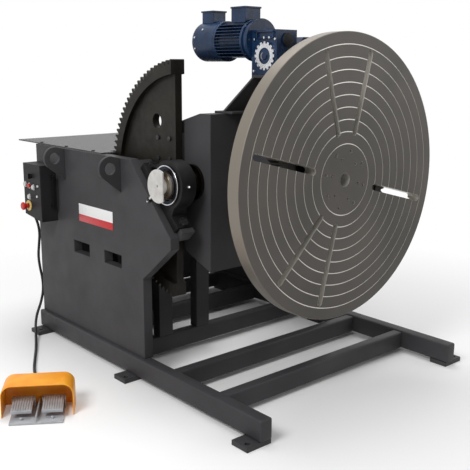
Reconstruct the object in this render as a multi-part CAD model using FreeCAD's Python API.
import FreeCAD, Part
import math
import os

V = FreeCAD.Vector
os.makedirs("parts", exist_ok=True)

# A two-axis welding positioner. Front is -Y, up is +Z, left is -X. Millimetres.
# The origin is the centre of the anchor bolt pattern on the floor.

# Base frame
base_width = 1275.0          # outside of the rails
rail_width = 60.0
rail_height = 88.0
rail_wall = 5.0
rail_front = -847.0
rail_rear = 891.0
rail_chamfer = 37.0
pad_thick = 20.0
pad_length = 88.0
pad_reach = 63.0             # how far a pad stands out from its rail
anchor_spacing = 815.0       # from one row of anchor holes to the next
anchor_hole_r = 11.0
anchor_hole_out = 39.0       # from the rail's outer face
anchor_hole_in = 26.0        # from the pad's front edge
bar_width = 50.0
bar_height = 84.0
bar_fronts = [-583.0, -274.0, 132.0, 490.0, 841.0]

# Cabinet
panel_x = 615.0              # outer face of a side panel
panel_width = 45.0           # depth of a side panel's folded edge
panel_skin = 10.0
panel_front = -64.0
panel_rear = 884.0
panel_top = 1000.0
knee_z = 483.0
nose_y = -268.0
nose_z = 650.0
window_low = 495.0
window_high = 556.0
window_fronts = [105.0, 384.0]
window_length = 146.0
window_wall = 8.0
cover_thick = 6.0
cover_front = 268.0
cover_rear = 1105.0
cover_half = 603.0
cover_notch_half = 330.0
cover_notch_rear = 565.0
rear_panel_thick = 6.0
lug_rows = [94.0, 590.0]
lug_thick = 15.0
lug_eye_r = 27.0
lug_r = 54.0
lug_reach = 54.0             # eye centre from the side panel
lug_eye_z = 956.0
lug_foot_z = 846.0

# Tilt axis and its bearings
axis_y = -205.0
axis_z = 912.0
seat_angle = 46.1            # slope of the bearing seats, degrees
block_height = 103.0         # tilt axis above the seat
seat_thick = 28.0
seat_gap = 7.0               # from the sector gear's web to the bearing seat
stop_gap = 3.0               # from a pillow block to its stop bar
stop_length = 24.0
stop_height = 30.0
block_gap = 5.0              # from the seat's inner edge to the pillow block
block_width = 74.0
block_half_length = 172.0
seat_half_length = block_half_length + stop_gap + stop_length
block_foot = 34.0
block_r = 102.0
block_bolt_half = 150.0
race_outer_r = 80.0
race_inner_r = 66.0
race_width = 62.0
running_gap = 0.05           # radial clearance of every bearing
soft_gap = 0.3               # clearance between moving neighbours that face each other
shaft_r = 55.0
seal_r = 84.0
seal_thick = 7.0
collar_r = 62.0
collar_thick = 20.0
shaft_end_r = 34.0
cam_r = 70.0
cam_thick = 6.0
cam_stand_out = 17.0         # from the side panel to the cam disc's outer face
cam_x = panel_x + cam_stand_out
cam_cut = 36.0               # from the axis to the straight edge

# Tilt head
head_side_room = 169.0       # from the tilt box to the side panel's outer face
box_half = panel_x - head_side_room
box_front = -322.0
box_rear = -5.0
box_top = 1203.0
box_top_rear = -254.0
box_bottom = 536.0
box_top_fall = 0.287         # slope of the rear part of the roof
box_bottom_rise = 0.39
box_wall = 14.0
hatch_half = 380.0
hatch_low = 730.0
hatch_high = 1070.0
hatch_plate = 6.0
pad_plate = 15.0             # mounting pad under the sector gear
boss_r = 78.0

# Sector gear of the tilt drive
sector_module = 9.0
sector_teeth = 112           # teeth on the full circle
sector_face = 70.0
sector_web = 35.0
sector_rim = 40.0            # from the tooth root to the rim's inner edge
sector_front = 52.0          # straight front edge, behind the tilt axis
sector_notch_r = 82.0        # round cut that clears the trunnion
sector_window_r = 32.0
sector_window = (185.0, 250.0)
sector_bolt_y = [94.0, 177.0]
sector_bolt_z = [92.0, 180.0]
sector_gap = 1.0             # from the sector's rim to the tilt box
web_outer_x = box_half + pad_plate + sector_web
seat_inner_x = web_outer_x + seat_gap
block_x = seat_inner_x + block_gap + block_width / 2   # middle of a pillow block
bolt_r = 7.0

# Tilt drive
tilt_pinion_teeth = 14
tilt_mesh_angle = -22.5      # place of the tilt pinion round the axis, degrees
tilt_box_gap = 9.0           # from the sector's rim to the worm box
tilt_box_width = 128.0
tilt_box_half = 104.0
tilt_box_below = 103.0       # from the pinion's axis down to the stand
tilt_box_above = 45.0        # from the worm's axis up to the housing's top
tilt_box_step = 12.0
tilt_step = 90.0             # centre distance of the worm stage
tilt_wheel_r = 80.0
tilt_worm_r = 52.0
tilt_worm_half = 108.0
tilt_shaft_r = 20.0
tilt_motor_r = 68.0
tilt_flange = 14.0
tilt_motor_body = 160.0
tilt_motor_cover = 96.0
stand_overhang = 2.0         # of the stand's plate beside the worm box
stand_plate = 12.0
stand_width = 360.0
stand_leg = 80.0
stand_leg_insets = (50.0, 280.0)
stand_wall = 5.0
stand_front = 148.0
stand_rear = 530.0

# Table
table_r = 600.0
table_thick = 62.0
table_front = -666.0
table_z = 933.0
table_turn = -14.5           # rest angle of the slot pattern, degrees
table_bore_r = 30.0
slot_width = 28.0
slot_inner = 187.0
slot_outer = 545.0
slot_angles = [0.0, 90.0, 120.0, 180.0, 240.0, 270.0]
outer_holes = 8
outer_hole_ring = 120.0
outer_hole_r = 8.5
inner_holes = 6
inner_hole_ring = 87.0
inner_hole_r = 6.5

# Slewing ring and its drive
ring_module = 8.0
ring_teeth = 86
ring_pinion_teeth = 12
ring_width = 60.0
ring_race_r = 292.0
inner_race_bore = 235.0
drum_r = 262.0
drum_wall = 16.0
pinion_x = -15.0
pinion_face = 54.0
backlash = 0.9

worm_step_1 = 63.0           # centre distance of the first worm stage
worm_step_2 = 110.0          # centre distance of the second worm stage
red1_width = 112.0
red1_depth = 144.0
red1_below = 75.0
red1_above = 39.0
red2_width = 252.0
red2_depth = 155.0
red2_below = 112.0
red2_above = 76.0
coupling_gap = 12.0
drive_y = -442.0             # output axis of the first stage
motor_r = 85.0
stator_r = 76.0
fin_height = 8.0
fin_count = 30
motor_flange = 36.0
stator_length = 185.0
fan_cover_length = 151.0
sheet = 3.0

# Control box
ctrl_depth = 89.0
ctrl_front = 685.0
ctrl_rear = 862.0
ctrl_low = 628.0
ctrl_high = 912.0
ctrl_tail = 22.0             # rise of the box's bottom towards the rear
ctrl_wall = 3.0
column_y = [838.0, 795.0, 751.0, 711.0]
row_z = [852.0, 802.0, 745.0, 697.0]
bezel_r = 14.5
bezel_height = 4.0
cap_r = 11.0
cap_height = 12.0
button_travel = 4.0
stem_r = 5.0
stop_ring_r = 27.0
stop_head_r = 20.0
stop_reach = 41.0            # how far the emergency stop's head stands out
lamp_r = 6.0

# Foot switch
foot_x = -1189.0             # middle of the base plate's front edge
foot_y = -128.0
foot_turn = -33.0
foot_width = 214.0
foot_plate = 12.0
hood_front = 72.0            # from the base plate's front edge
hood_width = 292.0
hood_height = 136.0
hood_depth = 130.0
hood_wall = 5.0
hood_corner = 42.0
treadle_width = 84.0
treadle_front = 38.0         # from the base plate's front edge
treadle_pin = 148.0
treadle_thick = 8.0
treadle_rise = 6.0           # slope of a treadle at rest, degrees
treadle_middle = 62.0        # middle of a treadle from the base plate's middle
treadle_pin_z = 42.0
treadle_pin_r = 4.0
rib_count = 9

# Foot switch cable
cable_d = 14.0
gland_r = 12.0
gland_length = 22.0

foot_depth = hood_front + hood_depth - hood_wall
rail_top = pad_thick + rail_height
rail_outer = base_width / 2
rail_inner = rail_outer - rail_width
slope = math.radians(seat_angle)
down_slope = V(0, -math.cos(slope), -math.sin(slope))
seat_up = V(0, -math.sin(slope), math.cos(slope))
seat_foot = V(0, axis_y, axis_z) - seat_up * block_height
table_back = table_front + table_thick


def box(x0, x1, y0, y1, z0, z1):
    return Part.makeBox(x1 - x0, y1 - y0, z1 - z0, V(x0, y0, z0))


def rod(start, along, radius, length):
    return Part.makeCylinder(radius, length, start, along)


def tube(start, along, outer, inner, length):
    return rod(start, along, outer, length).cut(rod(start, along, inner, length))


def prism(points, along):
    wire = Part.makePolygon(points + [points[0]])
    return Part.Face(wire).extrude(along)


def side_prism(profile, x0, x1):
    """Extrude an outline given as (y, z) from x0 to x1."""
    return prism([V(x0, y, z) for y, z in profile], V(x1 - x0, 0, 0))


def mirrored(shape):
    return shape.mirror(V(0, 0, 0), V(1, 0, 0))


def fuse(shapes):
    result = shapes[0]
    if len(shapes) > 1:
        result = result.fuse(shapes[1:])
    return result.removeSplitter()


def save(name, shape):
    shape.exportStep("parts/" + name + ".step")


def save_pair(name, left):
    save(name + "_left", left)
    save(name + "_right", mirrored(left))


def save_both(name, left):
    """Write a piece and its mirror image as one node of two solids."""
    save(name, Part.makeCompound([left, mirrored(left)]))


def gear_outline(teeth, module, play):
    """Points of an external involute gear, anticlockwise, first tooth centred on +X."""
    pitch_r = module * teeth / 2
    pressure = math.radians(20)
    base_r = pitch_r * math.cos(pressure)
    root_r = pitch_r - 1.25 * module
    tip_r = pitch_r + module
    half_pitch = math.pi / 2 / teeth - play / 2 / pitch_r
    spread = math.tan(pressure) - pressure
    flank = []
    start_r = max(base_r, root_r)
    for step in range(3):
        r = start_r + (tip_r - start_r) * step / 2
        angle = math.acos(min(1.0, base_r / r))
        flank.append((r, half_pitch + spread - (math.tan(angle) - angle)))
    if root_r < base_r:
        flank.insert(0, (root_r, flank[0][1]))
    points = []
    for tooth in range(teeth):
        centre = 2 * math.pi * tooth / teeth
        for r, half in flank:
            points.append((r, centre - half))
        for r, half in reversed(flank):
            points.append((r, centre + half))
    return [(r * math.cos(a), r * math.sin(a)) for r, a in points]


def gear_along_x(teeth, module, centre_y, centre_z, x0, x1, phase, play):
    outline = gear_outline(teeth, module, play)
    gear = side_prism(outline, x0, x1)
    gear.rotate(V(0, 0, 0), V(1, 0, 0), phase)
    gear.translate(V(0, centre_y, centre_z))
    return gear


def gear_along_y(teeth, module, centre_x, centre_z, y0, y1, phase, play):
    outline = gear_outline(teeth, module, play)
    gear = prism([V(x, y0, z) for x, z in outline], V(0, y1 - y0, 0))
    gear.rotate(V(0, 0, 0), V(0, -1, 0), phase)
    gear.translate(V(centre_x, 0, centre_z))
    return gear


# Base frame: two box-section rails, five cross bars and six anchor pads

def rail():
    top = pad_thick + rail_height
    side = [(rail_front, pad_thick), (rail_rear, pad_thick), (rail_rear, top),
            (rail_front + rail_chamfer, top), (rail_front, top - rail_chamfer)]
    bar = side_prism(side, -rail_outer, -rail_inner)
    hollow = box(-rail_outer + rail_wall, -rail_inner - rail_wall,
                 rail_front + rail_chamfer + rail_wall, rail_rear,
                 pad_thick + rail_wall, top - rail_wall)
    return bar.cut(hollow)


def cross_bar(front):
    outside = box(-rail_inner, rail_inner, front, front + bar_width, pad_thick, pad_thick + bar_height)
    inside = box(-rail_inner, rail_inner, front + rail_wall, front + bar_width - rail_wall,
                 pad_thick + rail_wall, pad_thick + bar_height - rail_wall)
    return outside.cut(inside)


def anchor_pad(side, row):
    hole_y = row * anchor_spacing
    front = hole_y - anchor_hole_in
    inner = side * rail_inner
    outer = side * (rail_outer + pad_reach)
    pad = box(min(inner, outer), max(inner, outer), front, front + pad_length, 0, pad_thick)
    hole = rod(V(side * (rail_outer + anchor_hole_out), hole_y, 0), V(0, 0, 1), anchor_hole_r, pad_thick)
    return pad.cut(hole)


save_pair("rail", rail())
save("cross_bars", Part.makeCompound([cross_bar(front) for front in bar_fronts]))
save("anchor_pads", Part.makeCompound([anchor_pad(side, row) for side in (-1, 1) for row in (-1, 0, 1)]))


# Cabinet: folded side panels that carry the sloping bearing seats

def slope_point(along):
    point = seat_foot + down_slope * along
    return (point.y, point.z)


def panel_outline(inset):
    seat = seat_foot - seat_up * inset
    high = (panel_top - inset - seat.z) / math.sin(slope)
    low = (seat.y - (nose_y + inset)) / math.cos(slope)
    top_front = seat - down_slope * high
    nose_top = seat + down_slope * low
    lower = math.atan2(nose_z - knee_z, panel_front - nose_y)
    shift = inset / math.cos(lower)
    rise = math.tan(lower)
    knee = knee_z + shift - inset * rise
    nose = nose_z + shift - inset * rise
    return [(panel_front + inset, rail_top + inset), (panel_front + inset, knee),
            (nose_y + inset, nose), (nose_top.y, nose_top.z), (top_front.y, top_front.z),
            (panel_rear - inset, panel_top - inset), (panel_rear - inset, rail_top + inset)]


def side_panel():
    inner = -panel_x + panel_width
    panel = side_prism(panel_outline(0), -panel_x, inner)
    panel = panel.cut(side_prism(panel_outline(panel_skin), -panel_x + panel_skin, inner))
    for front in window_fronts:
        rear = front + window_length
        frame = box(-panel_x, inner, front - window_wall, rear + window_wall,
                    window_low - window_wall, window_high + window_wall)
        panel = panel.fuse(frame)
    for front in window_fronts:
        panel = panel.cut(box(-panel_x, inner, front, front + window_length, window_low, window_high))
    return panel.removeSplitter()


def on_slope(along, depth, x):
    """A point of the seat's frame: along the slope, up from the seat, across."""
    point = seat_foot + down_slope * along + seat_up * depth
    return V(x, point.y, point.z)


def slope_block(along0, along1, low, high, x0, x1):
    corners = [on_slope(along0, low, x0), on_slope(along1, low, x0),
               on_slope(along1, high, x0), on_slope(along0, high, x0)]
    return prism(corners, V(x1 - x0, 0, 0))


def seat_rib(along):
    skin = -panel_x + panel_skin
    edge = -panel_x + panel_width
    outline = [(skin, -panel_skin), (edge, -panel_skin), (edge, -seat_thick), (-seat_inner_x, -seat_thick),
               (-seat_inner_x, -seat_thick - 17), (skin, -150)]
    return prism([on_slope(along, depth, x) for x, depth in outline], down_slope * 12)


def bearing_seat():
    edge = -panel_x + panel_width
    plate = slope_block(-seat_half_length - 15, seat_half_length, -seat_thick, 0, edge, -seat_inner_x)
    stop = slope_block(seat_half_length - stop_length, seat_half_length, 0, stop_height, edge, -seat_inner_x)
    ribs = [seat_rib(along) for along in (-140, -30, 80)]
    return fuse([plate, stop] + ribs)


save_pair("side_panel", side_panel())
save_both("bearing_seats", bearing_seat())


# Pillow blocks with their fixed outer races

def pillow_block():
    x0 = -block_x - block_width / 2
    x1 = -block_x + block_width / 2
    foot = slope_block(-block_half_length, block_half_length, 0, block_foot, x0, x1)
    cheeks = prism([on_slope(-block_half_length + 62, block_foot, x0), on_slope(block_half_length - 62, block_foot, x0),
                    on_slope(block_r * 0.8, block_height + 20, x0), on_slope(-block_r * 0.8, block_height + 20, x0)],
                   V(block_width, 0, 0))
    round_body = rod(V(x0, axis_y, axis_z), V(1, 0, 0), block_r, block_width)
    block = fuse([foot, cheeks, round_body])
    block = block.cut(rod(V(x0, axis_y, axis_z), V(1, 0, 0), race_outer_r, block_width))
    for side in (-1, 1):
        start = on_slope(side * block_bolt_half, 0, -block_x)
        block = block.cut(rod(start, seat_up, 13, block_foot))
    return block


def block_bolt(side):
    head = rod(on_slope(side * block_bolt_half, block_foot, -block_x), seat_up, 19, 14)
    shank = rod(on_slope(side * block_bolt_half, 0, -block_x), seat_up, 12, block_foot)
    return head.fuse(shank).removeSplitter()


outer_race = tube(V(-block_x - race_width / 2, axis_y, axis_z), V(1, 0, 0), race_outer_r, race_inner_r, race_width)
seal = tube(V(-block_x - block_width / 2 - seal_thick, axis_y, axis_z), V(1, 0, 0), seal_r, collar_r + 4, seal_thick)
save_both("pillow_blocks", pillow_block())
save_both("tilt_bearings", outer_race)
save_both("bearing_seals", seal)
left_bolts = [block_bolt(side) for side in (-1, 1)]
save("pillow_bolts", Part.makeCompound(left_bolts + [mirrored(bolt) for bolt in left_bolts]))


# Cabinet covers and lifting lugs

def top_cover():
    cover = box(-cover_half, cover_half, cover_front, cover_rear, panel_top, panel_top + cover_thick)
    notch = box(-cover_notch_half, cover_notch_half, cover_front, cover_notch_rear,
                panel_top, panel_top + cover_thick)
    tip_r = sector_module * (sector_teeth / 2 + 1)
    reach = math.sqrt(tip_r ** 2 - (panel_top - axis_z) ** 2)
    slot = box(sector_outer_x() - 12, -box_half + 12, cover_front, axis_y + reach + 15,
               panel_top, panel_top + cover_thick)
    return cover.cut(notch).cut(slot)


def sector_outer_x():
    return -(box_half + sector_gap + sector_face)


def cover_screw(side, y):
    x = side * (panel_x - panel_width / 2)
    return rod(V(x, y, panel_top + cover_thick), V(0, 0, 1), 8, 5)


def lifting_lug(front):
    eye = V(-panel_x - lug_reach, front, lug_eye_z)
    disc = rod(eye, V(0, 1, 0), lug_r, lug_thick)
    tangent = lug_r * math.sqrt(0.5)
    web = prism([V(-panel_x, front, lug_foot_z), V(-panel_x, front, lug_eye_z + lug_r - 12),
                 V(eye.x, front, lug_eye_z + lug_r), V(eye.x - tangent, front, lug_eye_z - tangent)],
                V(0, lug_thick, 0))
    return fuse([disc, web]).cut(rod(eye, V(0, 1, 0), lug_eye_r, lug_thick))


def rear_panel():
    half = panel_x - panel_width
    panel = box(-half, half, panel_rear - rear_panel_thick, panel_rear, rail_top, panel_top)
    for row in range(8):
        z = 300 + 34 * row
        panel = panel.cut(box(120, 420, panel_rear - rear_panel_thick, panel_rear, z, z + 12))
    return panel


save("top_cover", top_cover())
screw_rows = [358.0, 610.0, 862.0]
save("cover_screws", Part.makeCompound([cover_screw(side, y) for side in (-1, 1) for y in screw_rows]))
left_lugs = [lifting_lug(front) for front in lug_rows]
save("lifting_lugs", Part.makeCompound(left_lugs + [mirrored(lug) for lug in left_lugs]))
save("rear_panel", rear_panel())


# Tilt head: a welded box on two trunnions

def roof_z(y):
    return box_top - (y - box_top_rear) * box_top_fall


def floor_z(y):
    return box_bottom + (y - box_front) * box_bottom_rise


def head_outline(inset):
    rear = box_rear - inset
    return [(box_front + inset, floor_z(box_front + inset) + inset * 1.08), (rear, floor_z(rear) + inset * 1.08),
            (rear, roof_z(rear) - inset * 1.04), (box_top_rear, box_top - inset),
            (box_front + inset, box_top - inset)]


def tilt_box():
    shell = side_prism(head_outline(0), -box_half, box_half)
    shell = shell.cut(side_prism(head_outline(box_wall), -box_half + box_wall, box_half - box_wall))
    hatch = box(-hatch_half, hatch_half, box_rear - box_wall, box_rear, hatch_low, hatch_high)
    shell = shell.cut(hatch)
    pad = side_prism([(axis_y + 56, axis_z - 205), (axis_y + 197, axis_z - 205),
                      (axis_y + 197, axis_z + 205), (axis_y + 56, axis_z + 205)],
                     -box_half - pad_plate, -box_half)
    clear = rod(V(-box_half - pad_plate, axis_y, axis_z), V(1, 0, 0), boss_r, pad_plate)
    return shell.fuse(pad.cut(clear)).removeSplitter()


def trunnion():
    x_box = -box_half
    flange = rod(V(x_box, axis_y, axis_z), V(-1, 0, 0), boss_r, pad_plate)
    end = block_x + block_width / 2 + seal_thick + collar_thick
    shaft = rod(V(x_box, axis_y, axis_z), V(-1, 0, 0), shaft_r, end - box_half)
    inner_race = rod(V(-block_x + race_width / 2, axis_y, axis_z), V(-1, 0, 0),
                     race_inner_r - running_gap, race_width)
    collar = rod(V(-end + collar_thick - soft_gap, axis_y, axis_z), V(-1, 0, 0), collar_r, collar_thick - 2)
    return fuse([flange, shaft, inner_race, collar])


def cam_disc():
    end = block_x + block_width / 2 + seal_thick + collar_thick
    stem = rod(V(-end, axis_y, axis_z), V(-1, 0, 0), shaft_end_r, cam_x - cam_thick - end)
    disc = rod(V(-cam_x + cam_thick, axis_y, axis_z), V(-1, 0, 0), cam_r, cam_thick)
    cut = box(-cam_x, -cam_x + cam_thick, axis_y - cam_r, axis_y - cam_cut, axis_z - cam_r, axis_z + cam_r)
    screw = rod(V(-cam_x, axis_y, axis_z), V(1, 0, 0), 6, cam_thick)
    return stem.fuse(disc.cut(cut).cut(screw)).removeSplitter()


save("tilt_box", tilt_box())
hatch_margin = 20
save("tilt_box_hatch", box(-hatch_half - hatch_margin, hatch_half + hatch_margin, box_rear,
                           box_rear + hatch_plate, hatch_low - hatch_margin, hatch_high + hatch_margin))
save_both("trunnions", trunnion())
save("cam_disc", cam_disc())


# Sector gear: a toothed rim on a thinner web, cut straight behind the axis

def sector_gear():
    pitch_r = sector_module * sector_teeth / 2
    root_r = pitch_r - 1.25 * sector_module
    rim_r = root_r - sector_rim
    x0 = sector_outer_x()
    x1 = x0 + sector_face
    web0 = -box_half - pad_plate - sector_web
    web1 = -box_half - pad_plate
    teeth = gear_along_x(sector_teeth, sector_module, axis_y, axis_z, x0, x1, 0, backlash)
    rim = teeth.cut(rod(V(x0, axis_y, axis_z), V(1, 0, 0), rim_r, sector_face))
    web = rod(V(web0, axis_y, axis_z), V(1, 0, 0), rim_r + 1, web1 - web0)
    far = pitch_r * 2
    behind = box(x0, x1, axis_y + sector_front, axis_y + far, axis_z - far, axis_z + far)
    sector = rim.fuse(web).common(behind)
    sector = sector.cut(rod(V(x0, axis_y, axis_z), V(1, 0, 0), sector_notch_r, sector_face))
    for sign in (-1, 1):
        window = V(web0, axis_y + sector_window[0], axis_z + sign * sector_window[1])
        sector = sector.cut(rod(window, V(1, 0, 0), sector_window_r, sector_web))
        for y in sector_bolt_y:
            for z in sector_bolt_z:
                hole = V(web0, axis_y + y, axis_z + sign * z)
                sector = sector.cut(rod(hole, V(1, 0, 0), bolt_r, sector_web))
    return sector.removeSplitter()


def sector_bolt(y, z):
    web0 = -box_half - pad_plate - sector_web
    shank = rod(V(web0 + 12, axis_y + y, axis_z + z), V(1, 0, 0), bolt_r - 1, sector_web - 12)
    head = rod(V(web0, axis_y + y, axis_z + z), V(-1, 0, 0), 10, 6)
    neck = rod(V(web0, axis_y + y, axis_z + z), V(1, 0, 0), bolt_r - 1, 12)
    return fuse([shank, neck, head])


save("sector_gear", sector_gear())
bolt_places = [(y, sign * z) for y in sector_bolt_y for z in sector_bolt_z for sign in (-1, 1)]
save("sector_bolts", Part.makeCompound([sector_bolt(y, z) for y, z in bolt_places]))


# Table: round plate with clamping slots, tapped holes and turned rings

def table_plate():
    back = V(0, table_back, table_z)
    plate = rod(back, V(0, -1, 0), table_r, table_thick)
    plate = plate.cut(rod(back, V(0, -1, 0), table_bore_r, table_thick))
    for angle in slot_angles:
        plate = plate.cut(table_slot(angle + table_turn))
    for count, ring, radius in ((outer_holes, outer_hole_ring, outer_hole_r),
                                (inner_holes, inner_hole_ring, inner_hole_r)):
        for index in range(count):
            angle = math.radians(table_turn + 360 * index / count)
            start = V(ring * math.cos(angle), table_back, table_z + ring * math.sin(angle))
            plate = plate.cut(rod(start, V(0, -1, 0), radius, table_thick))
    return plate


def table_slot(angle):
    half = slot_width / 2
    bar = box(slot_inner + half, slot_outer - half, table_front, table_back, -half, half)
    ends = [rod(V(x, table_front, 0), V(0, 1, 0), half, table_thick) for x in (slot_inner + half, slot_outer - half)]
    slot = fuse([bar] + ends)
    slot.rotate(V(0, 0, 0), V(0, -1, 0), angle)
    slot.translate(V(0, 0, table_z))
    return slot


def ring_gear():
    teeth = gear_along_y(ring_teeth, ring_module, 0, table_z, table_back, table_back + ring_width, 0, backlash)
    return teeth.cut(rod(V(0, table_back, table_z), V(0, 1, 0), ring_race_r, ring_width))


save("face_plate", table_plate())
save("slewing_ring_gear", ring_gear())


# Fixed race and drum between the slewing ring and the tilt box

race_front = table_back + 6
drum_front = table_back + ring_width + 4


def slewing_inner_race():
    return tube(V(0, race_front, table_z), V(0, 1, 0), ring_race_r - running_gap, inner_race_bore,
                drum_front - race_front)


def bearing_drum():
    flange = tube(V(0, drum_front, table_z), V(0, 1, 0), ring_race_r - 6, inner_race_bore - 15, 18)
    body = tube(V(0, drum_front + 18, table_z), V(0, 1, 0), drum_r, drum_r - drum_wall, box_front - drum_front - 18)
    return fuse([flange, body])


save("slewing_inner_race", slewing_inner_race())
save("bearing_drum", bearing_drum())


# Rotation drive: brake motor, two worm stages and the pinion

ring_distance = ring_module * (ring_teeth + ring_pinion_teeth) / 2
out2_z = table_z + math.sqrt(ring_distance ** 2 - pinion_x ** 2)
out1_z = out2_z + worm_step_2
motor_z = out1_z + worm_step_1
red2_left = pinion_x - red2_width / 2
red1_right = red2_left - coupling_gap
red1_left = red1_right - red1_width
motor_x = (red1_left + red1_right) / 2
red1_rear = drive_y + red1_depth / 2
red1_front = drive_y - red1_depth / 2
red2_front = drive_y - red2_depth / 2
red2_rear = drive_y + red2_depth / 2
mesh_angle = math.degrees(math.atan2(out2_z - table_z, pinion_x))


def clipped(x0, x1, y0, y1, z0, z1, corner):
    """A block whose four edges along Y are cut off at 45 degrees."""
    outline = [V(x0 + corner, y0, z0), V(x1 - corner, y0, z0), V(x1, y0, z0 + corner), V(x1, y0, z1 - corner),
               V(x1 - corner, y0, z1), V(x0 + corner, y0, z1), V(x0, y0, z1 - corner), V(x0, y0, z0 + corner)]
    return prism(outline, V(0, y1 - y0, 0))


def first_reducer():
    body = box(red1_left + 8, red1_right - 8, red1_front, red1_rear, out1_z - red1_below, motor_z + red1_above)
    wheel_side = [(red1_front, out1_z - red1_below), (red1_rear, out1_z - red1_below),
                  (red1_rear, motor_z + red1_above), (red1_front, motor_z + red1_above)]
    rim = side_prism(wheel_side, red1_left, red1_right)
    pocket0 = box(red1_left, red1_left + 5, red1_front + 8, red1_rear - 8, motor_z - 22, motor_z + red1_above - 9)
    cap = rod(V(motor_x, red1_front, motor_z), V(0, -1, 0), 24, 5)
    body = fuse([body, rim.cut(pocket0), cap])
    bore = rod(V(red1_left, drive_y, out1_z), V(1, 0, 0), 14, red1_width)
    return body.cut(bore)


def output_ring():
    ring = tube(V(red1_left, drive_y, out1_z), V(-1, 0, 0), 57, 38, 9)
    for index in range(8):
        angle = math.radians(45 * index + 22.5)
        start = V(red1_left - 9, drive_y + 48 * math.cos(angle), out1_z + 48 * math.sin(angle))
        ring = ring.fuse(rod(start, V(-1, 0, 0), 5, 4))
    return ring.removeSplitter()


def coupling_shaft():
    """Output shaft of the first stage, which is the worm shaft of the second."""
    return rod(V(red1_left - 6, drive_y, out1_z), V(1, 0, 0), 14 - running_gap, red2_left + 30 - red1_left + 6)


def second_reducer():
    body = clipped(red2_left, red2_left + red2_width, red2_front + 12, red2_rear - 12,
                   out2_z - red2_below, out1_z + red2_above, 34)
    wheel = rod(V(pinion_x, red2_front, out2_z), V(0, 1, 0), 88, red2_depth)
    worm = rod(V(red2_left - coupling_gap, drive_y, out1_z), V(1, 0, 0), 56, red2_width + coupling_gap)
    body = fuse([body, wheel, worm])
    body = body.cut(rod(V(pinion_x, red2_front, out2_z), V(0, 1, 0), 22, red2_depth))
    return body.cut(rod(V(red2_left - coupling_gap, drive_y, out1_z), V(1, 0, 0), 14, coupling_gap + 31))


def ring_pinion():
    start = table_back + 3
    half_tooth = 180 / ring_pinion_teeth
    ring_phase = mesh_angle % (360 / ring_teeth)
    phase = mesh_angle + 180 + ring_phase * ring_teeth / ring_pinion_teeth + half_tooth
    pinion = gear_along_y(ring_pinion_teeth, ring_module, pinion_x, out2_z, start, start + pinion_face,
                          phase, backlash)
    shaft = rod(V(pinion_x, start, out2_z), V(0, 1, 0), 22 - running_gap, red2_rear - start + 4)
    return fuse([pinion, shaft])


save("first_worm_reducer", first_reducer())
save("reducer_output_ring", output_ring())
save("coupling_shaft", coupling_shaft())
save("second_worm_reducer", second_reducer())
save("ring_pinion", ring_pinion())


def drive_bracket():
    plate = 12.0
    platform_z = out1_z - red1_below
    foot_top = box_top + plate - 3
    foot_front = red2_rear
    foot = box(-366, red2_left + red2_width, foot_front, box_top_rear, box_top, foot_top)
    platform = box(red1_left, red1_right, red1_front, red1_rear, platform_z - plate, platform_z)
    lean_low = -304.0
    lean = [V(-366, lean_low, foot_top), V(-366, lean_low - plate, foot_top),
            V(red1_left, red1_rear - plate, platform_z - plate), V(red1_left, red1_rear, platform_z - plate)]
    near = Part.makePolygon(lean + [lean[0]])
    far = [V(red1_right + 40, p.y, p.z) if p.z < foot_top + 1 else V(red1_right, p.y, p.z) for p in lean]
    slab = Part.makeLoft([near, Part.makePolygon(far + [far[0]])], True, True)
    back = box(red2_left, red2_left + red2_width, red2_rear, red2_rear + plate, box_top, out2_z + 40)
    bore = rod(V(pinion_x, red2_rear, out2_z), V(0, 1, 0), 60, plate)
    return fuse([foot, platform, slab, back.cut(bore)])


save("drive_bracket", drive_bracket())


def motor_stator():
    y0 = red1_rear + motor_flange
    core = rod(V(motor_x, y0, motor_z), V(0, 1, 0), stator_r, stator_length)
    fins = []
    for index in range(fin_count):
        angle = 360.0 * index / fin_count
        fin = box(stator_r - 2, stator_r + fin_height, y0 + 4, y0 + stator_length - 2, -1.6, 1.6)
        fin.rotate(V(0, 0, 0), V(0, 1, 0), angle)
        fin.translate(V(motor_x, 0, motor_z))
        fins.append(fin)
    shield = rod(V(motor_x, y0 + stator_length - 2, motor_z), V(0, 1, 0), motor_r - sheet - soft_gap, 14)
    body = core.fuse(fins + [shield])
    return body.cut(rod(V(motor_x, y0, motor_z), V(0, 1, 0), 48, stator_length + 12)).removeSplitter()


def motor_front_shield():
    y0 = red1_rear
    flange = rod(V(motor_x, y0, motor_z), V(0, 1, 0), motor_r + 3, 14)
    cone = Part.makeCone(motor_r, stator_r + 2, motor_flange - 14, V(motor_x, y0 + 14, motor_z), V(0, 1, 0))
    bore = rod(V(motor_x, y0, motor_z), V(0, 1, 0), 15, motor_flange)
    room = rod(V(motor_x, y0 + 14, motor_z), V(0, 1, 0), 48, motor_flange - 14)
    return fuse([flange, cone]).cut(bore).cut(room)


def rounded_end(cylinder, radius):
    """Round the rear edge of a cylinder that lies along Y."""
    rear = cylinder.BoundBox.YMax
    edges = [edge for edge in cylinder.Edges if edge.BoundBox.YMin > rear - 0.1]
    return cylinder.makeFillet(radius, edges)


def fan_cover():
    y0 = red1_rear + motor_flange + stator_length
    length = fan_cover_length
    outside = rod(V(motor_x, y0, motor_z), V(0, 1, 0), motor_r, length)
    inside = rod(V(motor_x, y0, motor_z), V(0, 1, 0), motor_r - sheet, length - sheet)
    cover = rounded_end(outside, 22).cut(rounded_end(inside, 22 - sheet))
    for ring in (24, 42):
        for index in range(6):
            angle = math.radians(60 * index)
            start = V(motor_x + ring * math.cos(angle), y0 + length - sheet - 1, motor_z + ring * math.sin(angle))
            cover = cover.cut(rod(start, V(0, 1, 0), 6, sheet + 2))
    return cover


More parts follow.
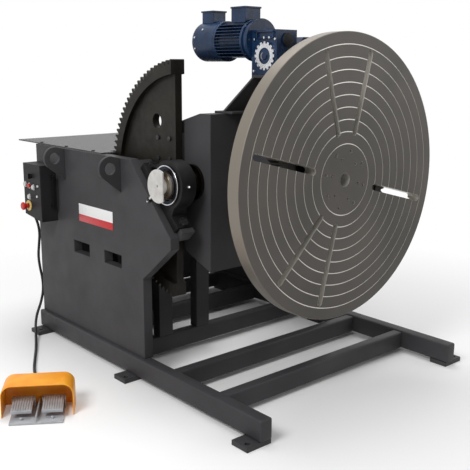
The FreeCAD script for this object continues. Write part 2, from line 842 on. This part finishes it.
def motor_rotor():
    y0 = red1_rear
    y_fan = y0 + motor_flange + stator_length + fan_cover_length - 62
    shaft = rod(V(motor_x, y0, motor_z), V(0, 1, 0), 15 - running_gap, y_fan - y0 + 30)
    core = rod(V(motor_x, y0 + motor_flange + 20, motor_z), V(0, 1, 0), 47, stator_length - 40)
    hub = rod(V(motor_x, y_fan, motor_z), V(0, 1, 0), 30, 30)
    blades = []
    for index in range(6):
        blade = box(26, 70, y_fan, y_fan + 28, -1.5, 1.5)
        blade.rotate(V(0, 0, 0), V(0, 1, 0), 60 * index)
        blade.translate(V(motor_x, 0, motor_z))
        blades.append(blade)
    return fuse([shaft, core, hub] + blades)


def terminal_box(x0, x1, y0, y1, height, lid):
    seat = math.sqrt(motor_r ** 2 - ((x1 - x0) / 2) ** 2) - 2
    body = box(x0, x1, y0, y1, motor_z + seat, motor_z + motor_r + height)
    core = rod(V(motor_x, y0, motor_z), V(0, 1, 0), motor_r, y1 - y0)
    top = box(x0 - lid, x1 + lid, y0 - lid, y1 + lid, motor_z + motor_r + height, motor_z + motor_r + height + 7)
    return fuse([body.cut(core), top])


save("motor_stator", motor_stator())
save("motor_front_shield", motor_front_shield())
save("motor_fan_cover", fan_cover())
save("motor_rotor", motor_rotor())
small_box = terminal_box(motor_x - 35, motor_x + 35, -98, -24, 38, 4)
large_box = terminal_box(motor_x - 43, motor_x + 43, -312, -226, 46, 3)
save("motor_terminal_boxes", Part.makeCompound([small_box, large_box]))


# Tilt drive inside the cabinet

tilt_distance = sector_module * (sector_teeth + tilt_pinion_teeth) / 2
tilt_y = axis_y + tilt_distance * math.cos(math.radians(tilt_mesh_angle))
tilt_z = axis_z + tilt_distance * math.sin(math.radians(tilt_mesh_angle))
tilt_box_x0 = -box_half - sector_gap + tilt_box_gap
tilt_box_x1 = tilt_box_x0 + tilt_box_width
stand_top = tilt_z - tilt_box_below


def tilt_reducer():
    mid = (tilt_box_x0 + tilt_box_x1) / 2
    body = box(tilt_box_x0 + tilt_box_step, tilt_box_x1 - tilt_box_step, tilt_y - tilt_box_half,
               tilt_y + tilt_box_half, stand_top, tilt_z + tilt_step + tilt_box_above)
    wheel = rod(V(tilt_box_x0, tilt_y, tilt_z), V(1, 0, 0), tilt_wheel_r, tilt_box_width)
    worm = rod(V(mid, tilt_y - tilt_worm_half, tilt_z + tilt_step), V(0, 1, 0), tilt_worm_r, 2 * tilt_worm_half)
    body = fuse([body, wheel, worm])
    return body.cut(rod(V(tilt_box_x0, tilt_y, tilt_z), V(1, 0, 0), tilt_shaft_r, tilt_box_width))


def tilt_motor():
    mid = (tilt_box_x0 + tilt_box_x1) / 2
    start = V(mid, tilt_y + tilt_worm_half, tilt_z + tilt_step)
    flange = rod(start, V(0, 1, 0), tilt_motor_r, tilt_flange)
    core = rod(start + V(0, tilt_flange, 0), V(0, 1, 0), tilt_motor_r - 8, tilt_motor_body)
    cover = rod(start + V(0, tilt_flange + tilt_motor_body, 0), V(0, 1, 0), tilt_motor_r, tilt_motor_cover)
    terminals = box(mid - 38, mid + 38, start.y + 40, start.y + 120, start.z + 40, start.z + tilt_motor_r + 34)
    return fuse([flange, core, cover, terminals])


def tilt_pinion():
    x0 = sector_outer_x()
    phase = tilt_mesh_angle + 180 + 180 / tilt_pinion_teeth
    phase += (tilt_mesh_angle % (360 / sector_teeth)) * sector_teeth / tilt_pinion_teeth
    pinion = gear_along_x(tilt_pinion_teeth, sector_module, tilt_y, tilt_z, x0, x0 + sector_face, phase, backlash)
    shaft = rod(V(x0, tilt_y, tilt_z), V(1, 0, 0), tilt_shaft_r - running_gap, tilt_box_x1 + 4 - x0)
    return fuse([pinion, shaft])


def drive_stand():
    left = tilt_box_x0 - stand_overhang
    under = stand_top - stand_plate
    foot = pad_thick + bar_height
    top = box(left, left + stand_width, stand_front, stand_rear, under, stand_top)
    legs = []
    for x in [left + inset for inset in stand_leg_insets]:
        for front in (bar_fronts[2], bar_fronts[3]):
            leg = box(x, x + stand_leg, front, front + bar_width, foot, under)
            legs.append(leg.cut(box(x + stand_wall, x + stand_leg - stand_wall, front + stand_wall,
                                    front + bar_width - stand_wall, foot, under)))
    return fuse([top] + legs)


save("tilt_worm_reducer", tilt_reducer())
save("tilt_motor", tilt_motor())
save("tilt_pinion", tilt_pinion())
save("drive_stand", drive_stand())


# Control box: a welded box with its buttons in a front plate

plate_x = -panel_x - ctrl_depth


def control_shell():
    profile = [(ctrl_front, ctrl_low), (ctrl_rear, ctrl_low + ctrl_tail), (ctrl_rear, ctrl_high), (ctrl_front, ctrl_high)]
    wall = ctrl_wall
    room = [(ctrl_front + wall, ctrl_low + wall * 1.1), (ctrl_rear - wall, ctrl_low + ctrl_tail + wall),
            (ctrl_rear - wall, ctrl_high - wall), (ctrl_front + wall, ctrl_high - wall)]
    shell = side_prism(profile, plate_x + ctrl_wall, -panel_x)
    return shell.cut(side_prism(room, plate_x + ctrl_wall, -panel_x - ctrl_wall))


def button_hole(y, z):
    return rod(V(plate_x, y, z), V(1, 0, 0), stem_r + soft_gap, ctrl_wall)


def control_plate():
    profile = [(ctrl_front, ctrl_low), (ctrl_rear, ctrl_low + ctrl_tail), (ctrl_rear, ctrl_high), (ctrl_front, ctrl_high)]
    plate = side_prism(profile, plate_x, plate_x + ctrl_wall)
    for y, z in [selector_place, stop_place] + [place for name, place in button_places]:
        plate = plate.cut(button_hole(y, z))
    return plate


selector_place = ((column_y[1] + column_y[2]) / 2 + 5, row_z[0])
stop_place = (column_y[0] - 22, row_z[3])
button_places = [
    ("jog_button_rear", (column_y[0], row_z[1] + 3)),
    ("halt_button", (column_y[1], row_z[1])),
    ("jog_button_front", (column_y[2], row_z[1] - 4)),
    ("start_button", (column_y[1] + 4, row_z[2])),
]
lamp_places = [(column_y[3], row_z[1] + 5), (column_y[3] + 10, row_z[2] + 9)]


def bezel(y, z):
    return tube(V(plate_x, y, z), V(-1, 0, 0), bezel_r, cap_r + soft_gap, bezel_height)


def push_button(y, z):
    cap = rod(V(plate_x - button_travel - 1, y, z), V(-1, 0, 0), cap_r, cap_height - button_travel - 1)
    stem = rod(V(plate_x - button_travel - 1, y, z), V(1, 0, 0), stem_r, 30)
    return cap.fuse(stem).removeSplitter()


def selector_knob():
    y, z = selector_place
    disc = rod(V(plate_x - 0.5, y, z), V(-1, 0, 0), cap_r, 5)
    grip = box(plate_x - 20, plate_x - 5, y - 4, y + 4, z - 13, z + 13)
    stem = rod(V(plate_x - 0.5, y, z), V(1, 0, 0), stem_r, 30)
    return fuse([disc, grip, stem])


def stop_head():
    y, z = stop_place
    rim = rod(V(plate_x - stop_reach + 12, y, z), V(-1, 0, 0), stop_head_r, 8)
    crown = Part.makeCone(stop_head_r, stop_head_r - 6, 4, V(plate_x - stop_reach + 4, y, z), V(-1, 0, 0))
    neck = rod(V(plate_x - bezel_height - button_travel - 2, y, z), V(-1, 0, 0), 12,
               stop_reach - 12 - bezel_height - button_travel - 2)
    stem = rod(V(plate_x - bezel_height - button_travel - 2, y, z), V(1, 0, 0), stem_r, 36)
    return fuse([rim, crown, neck, stem])


def carry_handle():
    mid_z = (ctrl_low + ctrl_high) / 2 + 8
    half = 80
    path_x = -panel_x - 28
    bar = box(path_x - 7, path_x + 7, ctrl_front - 30, ctrl_front - 20, mid_z - half, mid_z + half)
    legs = [box(path_x - 7, path_x + 7, ctrl_front - 22, ctrl_front, z, z + 16) for z in (mid_z - half, mid_z + half - 16)]
    return fuse([bar] + legs)


def lamp(y, z):
    return rod(V(plate_x, y, z), V(-1, 0, 0), lamp_r, 5)


save("control_box", control_shell())
save("control_plate", control_plate())
save("control_handle", carry_handle())
save("button_bezels", Part.makeCompound([bezel(y, z) for name, (y, z) in button_places]))
for name, (y, z) in button_places:
    save(name, push_button(y, z))
save("selector_knob", selector_knob())
save("stop_ring", tube(V(plate_x, stop_place[0], stop_place[1]), V(-1, 0, 0), stop_ring_r, 13, bezel_height))
save("stop_head", stop_head())
save("pilot_lamps", Part.makeCompound([lamp(y, z) for y, z in lamp_places]))


# Foot switch, modelled with its front edge along X and then turned into place

def placed(shape):
    copy = shape.copy()
    copy.rotate(V(0, 0, 0), V(0, 0, 1), foot_turn)
    copy.translate(V(foot_x, foot_y, 0))
    return copy


def foot_base():
    half = foot_width / 2
    housing_front = treadle_pin + 14
    plate = box(-half, half, 0, foot_depth, 0, foot_plate)
    housing = box(-half + 6, half - 6, housing_front, foot_depth, foot_plate, 74)
    divider = box(-2.5, 2.5, 2, housing_front, foot_plate, foot_plate + 22)
    parts = [plate, housing, divider]
    for side in (-1, 1):
        for edge in (-1, 1):
            x = side * treadle_middle + edge * (treadle_width / 2 + 4)
            ear = box(x - 2.5, x + 2.5, treadle_pin - 12, housing_front, foot_plate, treadle_pin_z + 10)
            parts.append(ear)
        parts.append(rod(V(side * treadle_middle, treadle_front + 16, foot_plate), V(0, 0, 1), 7, 8))
    base = fuse(parts)
    for side in (-1, 1):
        start = V(side * treadle_middle - treadle_width / 2 - 8, treadle_pin, treadle_pin_z)
        base = base.cut(rod(start, V(1, 0, 0), treadle_pin_r, treadle_width + 16))
    return base


def foot_hood():
    half = hood_width / 2
    front = hood_front

    def arch(inset):
        r = hood_corner - inset
        x = half - inset
        z = hood_height - inset
        q = r * (1 - math.sqrt(0.5))
        edges = [Part.LineSegment(V(-x, front, 0), V(-x, front, z - r)).toShape(),
                 Part.Arc(V(-x, front, z - r), V(-x + q, front, z - q), V(-x + r, front, z)).toShape(),
                 Part.LineSegment(V(-x + r, front, z), V(x - r, front, z)).toShape(),
                 Part.Arc(V(x - r, front, z), V(x - q, front, z - q), V(x, front, z - r)).toShape(),
                 Part.LineSegment(V(x, front, z - r), V(x, front, 0)).toShape(),
                 Part.LineSegment(V(x, front, 0), V(-x, front, 0)).toShape()]
        return Part.Face(Part.Wire(edges))

    outside = arch(0).extrude(V(0, hood_depth, 0))
    inside = arch(hood_wall).extrude(V(0, hood_depth - hood_wall, 0))
    hood = outside.cut(inside)
    return hood


def treadle(side):
    middle = side * treadle_middle
    half = treadle_width / 2
    plate = box(middle - half, middle + half, treadle_front, treadle_pin + 6,
                treadle_pin_z - treadle_thick / 2, treadle_pin_z + treadle_thick / 2)
    lip = box(middle - half, middle + half, treadle_front, treadle_front + 5,
              treadle_pin_z - treadle_thick / 2 - 7, treadle_pin_z + treadle_thick / 2)
    barrel = rod(V(middle - half, treadle_pin, treadle_pin_z), V(1, 0, 0), treadle_pin_r + 4, treadle_width)
    pitch = treadle_width / rib_count
    ribs = [box(middle - half + pitch * (n + 0.25), middle - half + pitch * (n + 0.75), treadle_front + 3,
                treadle_pin - 12, treadle_pin_z + treadle_thick / 2, treadle_pin_z + treadle_thick / 2 + 2)
            for n in range(rib_count)]
    pedal = fuse([plate, lip, barrel] + ribs)
    bore = rod(V(middle - half, treadle_pin, treadle_pin_z), V(1, 0, 0), treadle_pin_r + running_gap, treadle_width)
    pedal = pedal.cut(bore)
    pedal.rotate(V(0, treadle_pin, treadle_pin_z), V(1, 0, 0), -treadle_rise)
    return pedal


def treadle_shaft(side):
    start = V(side * treadle_middle - treadle_width / 2 - 6, treadle_pin, treadle_pin_z)
    return rod(start, V(1, 0, 0), treadle_pin_r, treadle_width + 12)


save("foot_switch_base", placed(foot_base()))
save("foot_switch_hood", placed(foot_hood()))
save("treadle_left", placed(treadle(-1)))
save("treadle_right", placed(treadle(1)))
save("treadle_pins", placed(Part.makeCompound([treadle_shaft(side) for side in (-1, 1)])))


# Cable from the control box to the foot switch, with a gland at each end

cable_start = V(-640, ctrl_rear + gland_length, 680)
foot_gland_z = 35.0
foot_gland = V(0, hood_front + hood_depth, foot_gland_z)


def foot_point(local):
    turn = math.radians(foot_turn)
    return V(foot_x + local.x * math.cos(turn) - local.y * math.sin(turn),
             foot_y + local.x * math.sin(turn) + local.y * math.cos(turn), local.z)


cable_end = foot_point(foot_gland + V(0, gland_length, 0))
floor_z = cable_d / 2 + soft_gap
cable_route = [
    cable_start,
    V(-640, 922, 680), V(-626, 950, 642), V(-600, 942, 580), V(-593, 936, 516), V(-604, 932, 452),
    V(-612, 930, 392), V(-605, 931, 328), V(-592, 933, 262), V(-594, 929, 194), V(-616, 922, 130),
    V(-645, 914, 80), V(-666, 890, 48), V(-692, 844, 40), V(-719, 790, 34), V(-753, 722, 12),
    V(-818, 596, floor_z), V(-884, 480, floor_z), V(-942, 374, floor_z), V(-978, 284, floor_z),
    V(-994, 212, floor_z), V(-1008, 164, 18), V(-1024, 126, 33),
    cable_end,
]


def tangent_path(points):
    """Straight runs joined by arcs, each arc as large as its two runs allow."""
    edges = []
    last = points[0]
    for before, corner, after in zip(points, points[1:], points[2:]):
        back = (before - corner).normalize()
        ahead = (after - corner).normalize()
        turn = math.pi - back.getAngle(ahead)
        shorter = min((before - corner).Length, (after - corner).Length)
        setback = 0.45 * shorter
        radius = setback / math.tan(turn / 2)
        print("cable arc radius", round(radius), "turn", round(math.degrees(turn)))
        start = corner + back * setback
        end = corner + ahead * setback
        inward = (back + ahead).normalize()
        middle = corner + inward * (radius / math.cos(turn / 2) - radius)
        edges.append(Part.LineSegment(last, start).toShape())
        edges.append(Part.Arc(start, middle, end).toShape())
        last = end
    edges.append(Part.LineSegment(last, points[-1]).toShape())
    return Part.Wire(edges)


def cable():
    path = tangent_path(cable_route)
    start = cable_route[0]
    section = Part.Wire([Part.makeCircle(cable_d / 2, start, cable_route[1] - start)])
    solid = path.makePipeShell([section], True, True)
    print("cable length", round(path.Length), "volume ratio",
          round(solid.Volume / (path.Length * math.pi * cable_d ** 2 / 4), 4))
    return solid


save("foot_switch_cable", cable())
box_gland = rod(cable_start, V(0, -1, 0), gland_r, gland_length)
foot_gland_body = placed(rod(foot_gland, V(0, 1, 0), gland_r, gland_length))
save("cable_glands", Part.makeCompound([box_gland, foot_gland_body]))
